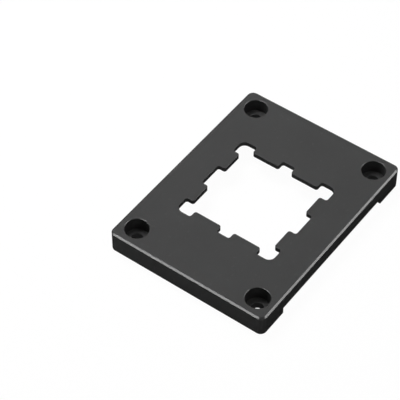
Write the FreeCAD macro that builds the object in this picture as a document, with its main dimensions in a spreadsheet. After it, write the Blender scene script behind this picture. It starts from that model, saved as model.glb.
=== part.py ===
# CPU socket retention frame
#
# One aluminium plate, milled from both sides. It lies on its two end bars over a processor's board socket.
# The teeth round its window press on the processor's lid, and four screws in deep recesses pull it down.
# +X runs across the plate, +Y along it and +Z up, away from the board.
# The origin is the centre of the underside. Lengths are in millimetres.

import FreeCAD
import Part
import Sketcher
import os

NODE = "retention_frame"

# The driving dimensions, from the window outwards. Each one can be changed by itself.
SIZES = {
    # Window in the thin lip, with a toothed outline
    "window_side": 33.9,           # between the bottoms of opposite notches
    "window_shift": -0.18,         # from the plate's centre to the window's, along Y
    "tooth_depth": 2.5,            # how far the teeth stand into the window
    "corner_notch": 5.25,          # from a window corner to the nearest tooth, along either side
    "end_notch": 4.5,              # between the two teeth of a side that runs along X
    "side_notch": 8.45,            # between the two teeth of a side that runs along Y
    "window_corner_radius": 2.15,
    "tooth_fillet": 0.75,
    "lip_thickness": 1.5,
    # Socket pocket under the lip
    "side_ledge": 5.05,            # lip between the window and the pocket's long walls
    "end_ledge": 6.05,             # lip between the window and the pocket's end walls
    "pocket_corner_radius": 3.0,
    # Rails beside the pocket, and the bars at the ends
    "rail_width": 5.25,            # from the pocket's long wall to the plate's long side
    "end_step": 2.4,               # from the pocket's end wall to the end bar
    "relief_height": 2.2,          # how far the rails stand clear of the board
    # Outline
    "plate_thickness": 7.1,
    "side_margin": 5.8,            # from a screw's axis to the long side
    "bar_margin": 4.5,             # from a screw's axis to the inner face of its end bar
    "end_margin": 5.85,            # from a screw's axis to the short side
    "corner_radius": 2.0,
    "edge_chamfer": 0.5,
    # Screw holes, each with a recess for the head
    "screw_hole": 3.7,             # diameter
    "head_recess": 7.4,            # diameter
    "recess_floor": 2.6,           # metal left under the head
    "rim_chamfer": 0.12,
}

# Lengths that follow from the driving dimensions
POCKET_WIDTH = "(Sizes.window_side + 2 * Sizes.side_ledge)"
POCKET_LENGTH = "(Sizes.window_side + 2 * Sizes.end_ledge)"
POCKET_HEIGHT = "(Sizes.plate_thickness - Sizes.lip_thickness)"
PLATE_WIDTH = f"({POCKET_WIDTH} + 2 * Sizes.rail_width)"
RELIEF_LENGTH = f"({POCKET_LENGTH} + 2 * Sizes.end_step)"
SCREW_X = f"({PLATE_WIDTH} / 2 - Sizes.side_margin)"
SCREW_Y = f"({RELIEF_LENGTH} / 2 + Sizes.bar_margin)"
PLATE_LENGTH = f"(2 * ({SCREW_Y} + Sizes.end_margin))"

# The window's outline, in coordinates from the window's centre
NOTCH_BOTTOM = "(Sizes.window_side / 2)"
TOOTH_FACE = f"({NOTCH_BOTTOM} - Sizes.tooth_depth)"
TOOTH_END = f"({NOTCH_BOTTOM} - Sizes.corner_notch)"
HALF_END_NOTCH = "(Sizes.end_notch / 2)"
HALF_SIDE_NOTCH = "(Sizes.side_notch / 2)"

# A sketch names a point by the number of its geometry and the place on it, counted from 1.
# The origin is the start of geometry -1.
START, END, CENTRE = range(1, 4)
ORIGIN = (-1, START)
TOUCHING = 1e-4


def make_sheet(doc):
    """The spreadsheet with the driving dimensions, one named cell each."""
    sheet = doc.addObject("Spreadsheet::Sheet", "Sizes")
    for row, (name, value) in enumerate(SIZES.items(), 1):
        sheet.set(f"A{row}", name)
        sheet.set(f"B{row}", str(value))
        sheet.setAlias(f"B{row}", name)
    return sheet


def new_sketch(body, name, **offset):
    """An empty sketch on the plane of the underside, moved by the offsets given for x, y or z."""
    plane = next(p for p in body.Origin.OriginFeatures if p.Role == "XY_Plane")
    sketch = body.newObject("Sketcher::SketchObject", name)
    sketch.AttachmentSupport = (plane, [""])
    sketch.MapMode = "FlatFace"
    for axis, expression in offset.items():
        sketch.setExpression(f".AttachmentOffset.Base.{axis}", expression)
    return sketch


def bind(sketch, kind, points, expression):
    """Adds a dimension to the sketch and binds it to an expression of the sheet."""
    number = sketch.addConstraint(Sketcher.Constraint(kind, *points, 1.0))
    sketch.setExpression(f"Constraints[{number}]", expression)


def draw_loop(sketch, corners):
    """A closed loop of level and upright lines, in turn, through rough corners. Dimensions move them later."""
    points = [FreeCAD.Vector(x, y) for x, y in corners]
    following = points[1:] + points[:1]
    lines = sketch.addGeometry([Part.LineSegment(a, b) for a, b in zip(points, following)])
    for number, line in enumerate(lines):
        joined = lines[(number + 1) % len(lines)]
        sketch.addConstraint(Sketcher.Constraint("Coincident", line, END, joined, START))
        sketch.addConstraint(Sketcher.Constraint("Vertical" if number % 2 else "Horizontal", line))
    return lines


def draw_rectangle(sketch, width, length):
    """A rectangle round the sketch's origin."""
    near, right, far, left = draw_loop(sketch, [(-1, -1), (1, -1), (1, 1), (-1, 1)])
    sketch.addConstraint(Sketcher.Constraint("Symmetric", near, START, far, START, *ORIGIN))
    bind(sketch, "DistanceX", (near, START, near, END), width)
    bind(sketch, "DistanceY", (right, START, right, END), length)


def draw_window_quarter(sketch):
    """A quarter of the toothed window, from its centre to the corner that lies towards +X and +Y."""
    outline = [
        ("0", "0"),
        (NOTCH_BOTTOM, "0"),
        (NOTCH_BOTTOM, HALF_SIDE_NOTCH),
        (TOOTH_FACE, HALF_SIDE_NOTCH),
        (TOOTH_FACE, TOOTH_END),
        (NOTCH_BOTTOM, TOOTH_END),
        (NOTCH_BOTTOM, NOTCH_BOTTOM),
        (TOOTH_END, NOTCH_BOTTOM),
        (TOOTH_END, TOOTH_FACE),
        (HALF_END_NOTCH, TOOTH_FACE),
        (HALF_END_NOTCH, NOTCH_BOTTOM),
        ("0", NOTCH_BOTTOM),
    ]
    # The order of the coordinates from the centre outwards, which is all that the rough corners need
    rank = {"0": 0, HALF_END_NOTCH: 1, HALF_SIDE_NOTCH: 1, TOOTH_END: 2, TOOTH_FACE: 3, NOTCH_BOTTOM: 4}
    lines = draw_loop(sketch, [(rank[x], rank[y]) for x, y in outline])
    sketch.addConstraint(Sketcher.Constraint("Coincident", lines[0], START, *ORIGIN))
    for number, (x, y) in enumerate(outline[1:-1], 1):
        kind, expression = ("DistanceX", x) if number % 2 else ("DistanceY", y)
        bind(sketch, kind, (*ORIGIN, lines[number], START), expression)


def draw_screw_place(sketch):
    """A circle on the axis of the screw that lies towards +X and +Y."""
    circle = sketch.addGeometry(Part.Circle(FreeCAD.Vector(2, 2), FreeCAD.Vector(0, 0, 1), 1))
    bind(sketch, "DistanceX", (*ORIGIN, circle, CENTRE), SCREW_X)
    bind(sketch, "DistanceY", (*ORIGIN, circle, CENTRE), SCREW_Y)
    bind(sketch, "Diameter", (circle,), "Sizes.screw_hole")


def add_cut(body, name, sketch, height):
    """A pocket from the underside upwards."""
    before = body.Shape.Volume
    pocket = body.newObject("PartDesign::Pocket", name)
    pocket.Profile = sketch
    pocket.Reversed = True
    pocket.setExpression("Length", height)
    body.Document.recompute()
    if not body.Shape.Volume < before:
        raise RuntimeError(f"{name} removes nothing")
    return pocket


def add_four_ways(body, name, feature, mirror_planes):
    """The feature and its images in two mirror planes that cross at right angles."""
    pattern = body.newObject("PartDesign::MultiTransform", name)
    pattern.Originals = [feature]
    mirrors = []
    for number, plane in enumerate(mirror_planes, 1):
        mirror = body.newObject("PartDesign::Mirrored", f"{name}_mirror_{number}")
        mirror.MirrorPlane = plane
        mirrors.append(mirror)
    pattern.Transformations = mirrors
    body.Tip = pattern
    body.Document.recompute()
    return pattern


def add_edge_finish(body, kind, name, base, wanted, expression):
    """A Fillet or Chamfer on the edges of the base for which wanted(edge) is true."""
    edges = [f"Edge{n}" for n, edge in enumerate(base.Shape.Edges, 1) if wanted(edge)]
    finish = body.newObject(f"PartDesign::{kind}", name)
    finish.Base = (base, edges)
    finish.setExpression("Radius" if kind == "Fillet" else "Size", expression)
    body.Document.recompute()
    return finish


def near(a, b):
    return abs(a - b) < TOUCHING


def is_upright(edge, low, high):
    """Whether the edge is straight and runs up from one height to the other."""
    box = edge.BoundBox
    return near(box.XLength, 0) and near(box.YLength, 0) and near(box.ZMin, low) and near(box.ZMax, high)


def is_circle(edge, height, diameter):
    """Whether the edge is a full circle of that diameter at that height."""
    return (
        edge.isClosed()
        and near(edge.BoundBox.ZMin, height)
        and near(edge.BoundBox.ZMax, height)
        and near(edge.BoundBox.XLength, diameter)
    )


def add_plate(body, sheet):
    """The plate with its rounded corners."""
    outline = new_sketch(body, "plate_outline")
    draw_rectangle(outline, PLATE_WIDTH, PLATE_LENGTH)
    plate = body.newObject("PartDesign::Pad", "plate")
    plate.Profile = outline
    plate.setExpression("Length", "Sizes.plate_thickness")
    body.Document.recompute()
    add_edge_finish(
        body, "Fillet", "plate_corners", plate,
        lambda edge: is_upright(edge, 0, sheet.plate_thickness),
        "Sizes.corner_radius",
    )


def add_underside(body, sheet):
    """The relief that leaves the end bars standing, and the deeper pocket for the socket."""
    outline = new_sketch(body, "relief_outline")
    draw_rectangle(outline, PLATE_WIDTH, RELIEF_LENGTH)
    add_cut(body, "relief", outline, "Sizes.relief_height")
    outline = new_sketch(body, "pocket_outline", y="Sizes.window_shift")
    draw_rectangle(outline, POCKET_WIDTH, POCKET_LENGTH)
    pocket = add_cut(body, "socket_pocket", outline, POCKET_HEIGHT)
    lip_underside = sheet.plate_thickness - sheet.lip_thickness
    add_edge_finish(
        body, "Fillet", "pocket_corners", pocket,
        lambda edge: is_upright(edge, sheet.relief_height, lip_underside),
        "Sizes.pocket_corner_radius",
    )


def add_window(body, sheet):
    """The window with its eight teeth, cut through the lip."""
    outline = new_sketch(body, "window_quarter_outline", y="Sizes.window_shift")
    draw_window_quarter(outline)
    quarter = add_cut(body, "window_quarter", outline, "Sizes.plate_thickness")
    window = add_four_ways(body, "window", quarter, [(outline, ["V_Axis"]), (outline, ["H_Axis"])])
    lip_underside = sheet.plate_thickness - sheet.lip_thickness

    def is_corner(edge):
        place = edge.CenterOfMass
        half = sheet.window_side / 2
        return near(abs(place.x), half) and near(abs(place.y - sheet.window_shift), half)

    def is_window_edge(edge):
        return is_upright(edge, lip_underside, sheet.plate_thickness)

    rounded = add_edge_finish(
        body, "Fillet", "window_corners", window,
        lambda edge: is_window_edge(edge) and is_corner(edge),
        "Sizes.window_corner_radius",
    )
    corner_reach = sheet.window_side / 2 - sheet.window_corner_radius

    def is_tooth_edge(edge):
        place = edge.CenterOfMass
        on_corner = min(abs(place.x), abs(place.y - sheet.window_shift)) > corner_reach - TOUCHING
        return is_window_edge(edge) and not on_corner

    add_edge_finish(body, "Fillet", "tooth_fillets", rounded, is_tooth_edge, "Sizes.tooth_fillet")


def add_screw_holes(body, sheet):
    """Four screw holes, each with a deep recess for the head and chamfered rims."""
    place = new_sketch(body, "screw_place", z="Sizes.plate_thickness")
    draw_screw_place(place)
    body.Document.recompute()
    hole = body.newObject("PartDesign::Hole", "screw_hole")
    hole.Profile = place
    body.Document.recompute()
    hole.ThreadType = "None"
    hole.DepthType = "ThroughAll"
    hole.HoleCutType = "Counterbore"
    hole.setExpression("Diameter", "Sizes.screw_hole")
    hole.setExpression("HoleCutDiameter", "Sizes.head_recess")
    hole.setExpression("HoleCutDepth", "Sizes.plate_thickness - Sizes.recess_floor")
    body.Document.recompute()
    planes = {plane.Role: plane for plane in body.Origin.OriginFeatures if hasattr(plane, "Role")}
    mirror_planes = [(planes["YZ_Plane"], [""]), (planes["XZ_Plane"], [""])]
    holes = add_four_ways(body, "screw_holes", hole, mirror_planes)
    add_edge_finish(
        body, "Chamfer", "hole_rims", holes,
        lambda edge: is_circle(edge, sheet.plate_thickness, sheet.head_recess)
        or is_circle(edge, 0, sheet.screw_hole),
        "Sizes.rim_chamfer",
    )


def add_top_chamfer(body, sheet):
    """The chamfer round the top of the plate."""
    base = body.Tip
    top = max(base.Shape.Faces, key=lambda face: (round(face.CenterOfMass.z, 3), face.Area))
    rim = [edge.hashCode() for edge in top.OuterWire.Edges]
    add_edge_finish(
        body, "Chamfer", "top_chamfer", base,
        lambda edge: edge.hashCode() in rim,
        "Sizes.edge_chamfer",
    )


def make_frame(doc, sheet):
    """The whole plate as one body."""
    body = doc.addObject("PartDesign::Body", NODE)
    body.Label = NODE
    body.Placement = FreeCAD.Placement()
    add_plate(body, sheet)
    add_underside(body, sheet)
    add_window(body, sheet)
    add_screw_holes(body, sheet)
    add_top_chamfer(body, sheet)
    return body


def check(doc, body):
    """Stops if any object of the document failed, or the body isn't one sound solid."""
    failed = [o.Name for o in doc.Objects if {"Invalid", "Error"} & set(o.State)]
    if failed:
        raise RuntimeError(f"these objects failed: {', '.join(failed)}")
    if body.Shape.isNull() or not body.Shape.isValid() or len(body.Shape.Solids) != 1:
        raise RuntimeError(f"{body.Label} is not one valid solid")


def main():
    doc = FreeCAD.newDocument("RetentionFrame")
    sheet = make_sheet(doc)
    doc.recompute()
    body = make_frame(doc, sheet)
    doc.recompute()
    check(doc, body)
    os.makedirs("parts", exist_ok=True)
    body.Shape.exportStep(f"parts/{body.Label}.step")


main()
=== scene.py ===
"""The looks of the socket retention frame: black anodised aluminium with a fine blasted surface.

The plate is the CAD part as it is. This script gives it its finish, and adds the floor, the lamps
and the camera. Everything is in metres, in the part's own frame: +X across the plate, +Y along it, +Z up.
"""

import math

import bpy
from mathutils import Matrix, Vector

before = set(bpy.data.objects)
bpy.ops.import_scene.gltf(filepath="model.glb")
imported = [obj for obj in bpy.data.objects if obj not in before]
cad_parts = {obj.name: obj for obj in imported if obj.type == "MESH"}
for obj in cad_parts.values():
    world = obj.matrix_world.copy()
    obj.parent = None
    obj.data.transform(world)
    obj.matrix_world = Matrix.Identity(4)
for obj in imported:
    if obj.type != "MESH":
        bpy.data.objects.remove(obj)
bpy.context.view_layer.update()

MM = 0.001
ACROSS = (1, 0, 0)
ALONG = (0, 1, 0)
UP = (0, 0, 1)

# The camera, as the photograph's own perspective gives it
CAMERA_AZIMUTH = 36.53                    # degrees from -Y towards +X
CAMERA_ELEVATION = 49.0                   # degrees
CAMERA_ROLL = -0.125                      # degrees
CAMERA_DISTANCE = 531.17 * MM             # from the point it looks at
CAMERA_AIM = (-16.75 * MM, 4.34 * MM)     # that point from the origin, to the right and up in the picture
CAMERA_LENS = 160.97                      # for a sensor 36 mm wide

# The finish
BODY_TONE = 0.053                         # linear grey of the dyed oxide
METAL_SHARE = 0.1                         # how much of it shines like metal
EDGE_TINT = 0.3                           # the shine at a grazing angle, as a share of bare metal's
ROUGHNESS = 0.26
ROUGHNESS_SPREAD = 0.04
ROUGHNESS_PATCHES = 700                   # per metre
CLOUDS = 90                               # per metre
CLOUD_SPREAD = 0.07                       # share of the tone
GRAIN = 5500                              # per metre
GRAIN_SPREAD = 0.2                        # share of the tone
GRAIN_HEIGHT = 0.012 * MM
GRAIN_STRENGTH = 0.5                      # share of the relief that the shading shows
EDGE_RADIUS = 0.07 * MM                   # how far from an edge the wear reaches
WORN_TONE = 0.14                          # linear grey of an edge where the oxide has thinned
WORN_SHARE = 0.25                         # how much of it shows at most
WORN_FULLY = 0.85                         # where the rounded and the true normal have this cosine

# The stage
SKY_LEVEL = 0.14                          # strength of the world's light on the object
FLOOR_TONE = 0.4                          # of the floor, as the light on the object meets it
SHADOW_SHARE = 0.03                       # how far the object's shadow darkens the white floor
FLOOR_SIZE = 6.0
FLOOR_DROP = 0.02 * MM                    # the floor lies this far below the part's feet
STRIP_DISTANCE = 1.0
STRIP_SIZE = (0.9, 0.24)                  # along its chamfer, and the other way
PANEL_ALONG = (0.8, 0.6, 0)               # about level in the picture


def link(tree, source, target):
    """Joins an output socket to an input socket."""
    tree.links.new(source, target)


def new_node(tree, kind, **settings):
    """A shader node with its properties, and the constants of its named inputs, set."""
    node = tree.nodes.new(kind)
    for name, value in settings.items():
        if hasattr(node, name):
            setattr(node, name, value)
        else:
            node.inputs[name.replace("_", " ")].default_value = value
    return node


def grey(value):
    """A colour with this value in all three channels."""
    return (value, value, value, 1.0)


def new_material(name):
    """A material with nodes, and its node tree."""
    material = bpy.data.materials.new(name)
    material.use_nodes = True
    return material, material.node_tree


def anodised_finish():
    """Satin black oxide: a fine grain in relief and tone, faint clouds and slight wear along the edges."""
    material, tree = new_material("anodised_black")
    shader = tree.nodes["Principled BSDF"]
    shader.inputs["Metallic"].default_value = METAL_SHARE
    shader.inputs["Specular IOR Level"].default_value = 0.0
    shader.inputs["Specular Tint"].default_value = grey(EDGE_TINT)
    place = new_node(tree, "ShaderNodeTexCoord")

    def noise(per_metre, detail=3.0):
        texture = new_node(tree, "ShaderNodeTexNoise", Scale=per_metre, Detail=detail)
        link(tree, place.outputs["Object"], texture.inputs["Vector"])
        return texture.outputs["Fac"]

    def spread(value, middle, by):
        mapped = new_node(tree, "ShaderNodeMapRange", To_Min=middle - by, To_Max=middle + by)
        link(tree, value, mapped.inputs["Value"])
        return mapped.outputs["Result"]

    grain = noise(GRAIN)
    tone = new_node(tree, "ShaderNodeMath", operation="MULTIPLY")
    link(tree, spread(noise(CLOUDS), BODY_TONE, BODY_TONE * CLOUD_SPREAD), tone.inputs[0])
    link(tree, spread(grain, 1.0, GRAIN_SPREAD), tone.inputs[1])

    # Wear: the rounded normal leaves the true one only within a hair of an edge, where the oxide thins
    rounded = new_node(tree, "ShaderNodeBevel", samples=8, Radius=EDGE_RADIUS)
    true = new_node(tree, "ShaderNodeNewGeometry")
    agreement = new_node(tree, "ShaderNodeVectorMath", operation="DOT_PRODUCT")
    link(tree, rounded.outputs["Normal"], agreement.inputs[0])
    link(tree, true.outputs["Normal"], agreement.inputs[1])
    wear = new_node(
        tree, "ShaderNodeMapRange", From_Min=1.0, From_Max=WORN_FULLY, To_Min=0.0, To_Max=WORN_SHARE
    )
    link(tree, agreement.outputs["Value"], wear.inputs["Value"])
    colour = new_node(tree, "ShaderNodeMix", data_type="RGBA")
    link(tree, wear.outputs["Result"], colour.inputs["Factor"])
    link(tree, tone.outputs["Value"], colour.inputs["A"])
    colour.inputs["B"].default_value = grey(WORN_TONE)
    link(tree, colour.outputs["Result"], shader.inputs["Base Color"])

    roughness = spread(noise(ROUGHNESS_PATCHES, detail=2.0), ROUGHNESS, ROUGHNESS_SPREAD)
    link(tree, roughness, shader.inputs["Roughness"])
    relief = new_node(tree, "ShaderNodeBump", Strength=GRAIN_STRENGTH, Distance=GRAIN_HEIGHT)
    link(tree, grain, relief.inputs["Height"])
    link(tree, rounded.outputs["Normal"], relief.inputs["Normal"])
    link(tree, relief.outputs["Normal"], shader.inputs["Normal"])
    return material


def seen_directly(tree):
    """1 for what the camera sees, straight, in a reflection or through glass, else 0."""
    path = new_node(tree, "ShaderNodeLightPath")
    total = path.outputs["Is Camera Ray"]
    for name in ("Is Glossy Ray", "Is Transmission Ray"):
        larger = new_node(tree, "ShaderNodeMath", operation="MAXIMUM")
        link(tree, total, larger.inputs[0])
        link(tree, path.outputs[name], larger.inputs[1])
        total = larger.outputs["Value"]
    return total


def add_floor():
    """A plain white floor. It looks white to the camera and in reflections, and keeps a faint shadow."""
    bpy.ops.mesh.primitive_plane_add(size=FLOOR_SIZE, location=(0, 0, -FLOOR_DROP))
    floor = bpy.context.object
    floor.name = "floor"
    material, tree = new_material("white_floor")
    tree.nodes.remove(tree.nodes["Principled BSDF"])
    lit = new_node(tree, "ShaderNodeBsdfDiffuse", Color=grey(1.0))
    white = new_node(tree, "ShaderNodeEmission", Strength=1.0)
    bright = new_node(tree, "ShaderNodeMixShader", Fac=1 - SHADOW_SHARE)
    link(tree, lit.outputs["BSDF"], bright.inputs[1])
    link(tree, white.outputs["Emission"], bright.inputs[2])
    plain = new_node(tree, "ShaderNodeBsdfDiffuse", Color=grey(FLOOR_TONE))
    both = new_node(tree, "ShaderNodeMixShader")
    link(tree, seen_directly(tree), both.inputs["Fac"])
    link(tree, plain.outputs["BSDF"], both.inputs[1])
    link(tree, bright.outputs["Shader"], both.inputs[2])
    link(tree, both.outputs["Shader"], tree.nodes["Material Output"].inputs["Surface"])
    floor.data.materials.append(material)


def add_world():
    """White where it is seen, and a dimmer even sky for the light on the object."""
    world = bpy.data.worlds.new("studio")
    world.use_nodes = True
    tree = world.node_tree
    level = new_node(tree, "ShaderNodeMapRange", To_Min=SKY_LEVEL, To_Max=1.0)
    link(tree, seen_directly(tree), level.inputs["Value"])
    link(tree, level.outputs["Result"], tree.nodes["Background"].inputs["Strength"])
    tree.nodes["Background"].inputs["Color"].default_value = grey(1.0)
    bpy.context.scene.world = world


def towards(azimuth, elevation):
    """The direction that lies at an azimuth, in degrees from -Y towards +X, and an elevation."""
    azimuth, elevation = math.radians(azimuth), math.radians(elevation)
    level = math.cos(elevation)
    return Vector((math.sin(azimuth) * level, -math.cos(azimuth) * level, math.sin(elevation)))


def mirrored(view, normal):
    """The direction that a face with this normal mirrors to whoever looks at it from the view."""
    normal = Vector(normal).normalized()
    return 2 * view.dot(normal) * normal - view


def facing(back, along):
    """A rotation whose Z points back and whose X points along, made square to it."""
    z = Vector(back).normalized()
    x = Vector(along)
    x = (x - x.dot(z) * z).normalized()
    return Matrix((x, z.cross(x), z)).transposed().to_4x4()


def add_soft_box(name, direction, along, distance, size, watts):
    """A rectangular lamp that faces the origin from a direction, its width along a second direction."""
    data = bpy.data.lights.new(name, "AREA")
    data.shape = "RECTANGLE"
    data.size, data.size_y = size
    data.energy = watts
    lamp = bpy.data.objects.new(name, data)
    lamp.matrix_world = facing(direction, along)
    lamp.location = direction.normalized() * distance
    bpy.context.scene.collection.objects.link(lamp)
    lamp.visible_camera = False
    return lamp


def add_colour_lamps():
    """A key high on the left with two weak fills. They give the colour, and no shine."""
    lamps = [
        add_soft_box("key", towards(-100, 65.5), ALONG, distance=0.32, size=(0.13, 0.13), watts=0.86),
        add_soft_box("left_fill", towards(-50.4, 1.8), UP, distance=0.2, size=(0.01, 0.06), watts=0.05),
        add_soft_box("right_fill", towards(105, 63), ALONG, distance=1.0, size=(0.5, 0.5), watts=1.5),
    ]
    for lamp in lamps:
        lamp.visible_glossy = False


def add_shine_lamps():
    """Strips that glint on the four chamfers, and a panel for the top. They give the shine alone."""
    front = towards(CAMERA_AZIMUTH, CAMERA_ELEVATION)
    behind = towards(CAMERA_AZIMUTH + 180, CAMERA_ELEVATION)
    # Each strip lies where its chamfer mirrors it to the camera, or to a camera behind the object
    strips = [
        ("front_strip", front, (0, -1, 1), ACROSS, 46.0),
        ("right_strip", front, (1, 0, 1), ALONG, 48.0),
        ("back_strip", behind, (0, 1, 1), ACROSS, 19.0),
        ("left_strip", behind, (-1, 0, 1), ALONG, 11.0),
    ]
    lamps = [
        add_soft_box(name, mirrored(view, normal), edge, STRIP_DISTANCE, STRIP_SIZE, watts)
        for name, view, normal, edge, watts in strips
    ]
    panel = mirrored(front, UP)
    lamps.append(add_soft_box("top_sheen", panel, PANEL_ALONG, distance=1.0, size=(0.7, 0.7), watts=2.8))
    for lamp in lamps:
        lamp.visible_diffuse = False


def add_camera():
    """The photograph's view. The aim is given in the picture's own right and up directions."""
    back = towards(CAMERA_AZIMUTH, CAMERA_ELEVATION)
    level = Vector(UP).cross(back).normalized()
    right = Matrix.Rotation(math.radians(CAMERA_ROLL), 3, back) @ level
    up = back.cross(right)
    data = bpy.data.cameras.new("camera")
    data.lens = CAMERA_LENS
    camera = bpy.data.objects.new("camera", data)
    camera.matrix_world = Matrix((right, up, back)).transposed().to_4x4()
    camera.location = right * CAMERA_AIM[0] + up * CAMERA_AIM[1] + back * CAMERA_DISTANCE
    bpy.context.scene.collection.objects.link(camera)
    bpy.context.scene.camera = camera


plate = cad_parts["retention_frame"]
plate.material_slots[0].material = anodised_finish()
add_world()
add_floor()
add_colour_lamps()
add_shine_lamps()
add_camera()
bpy.context.scene.view_settings.view_transform = "Standard"
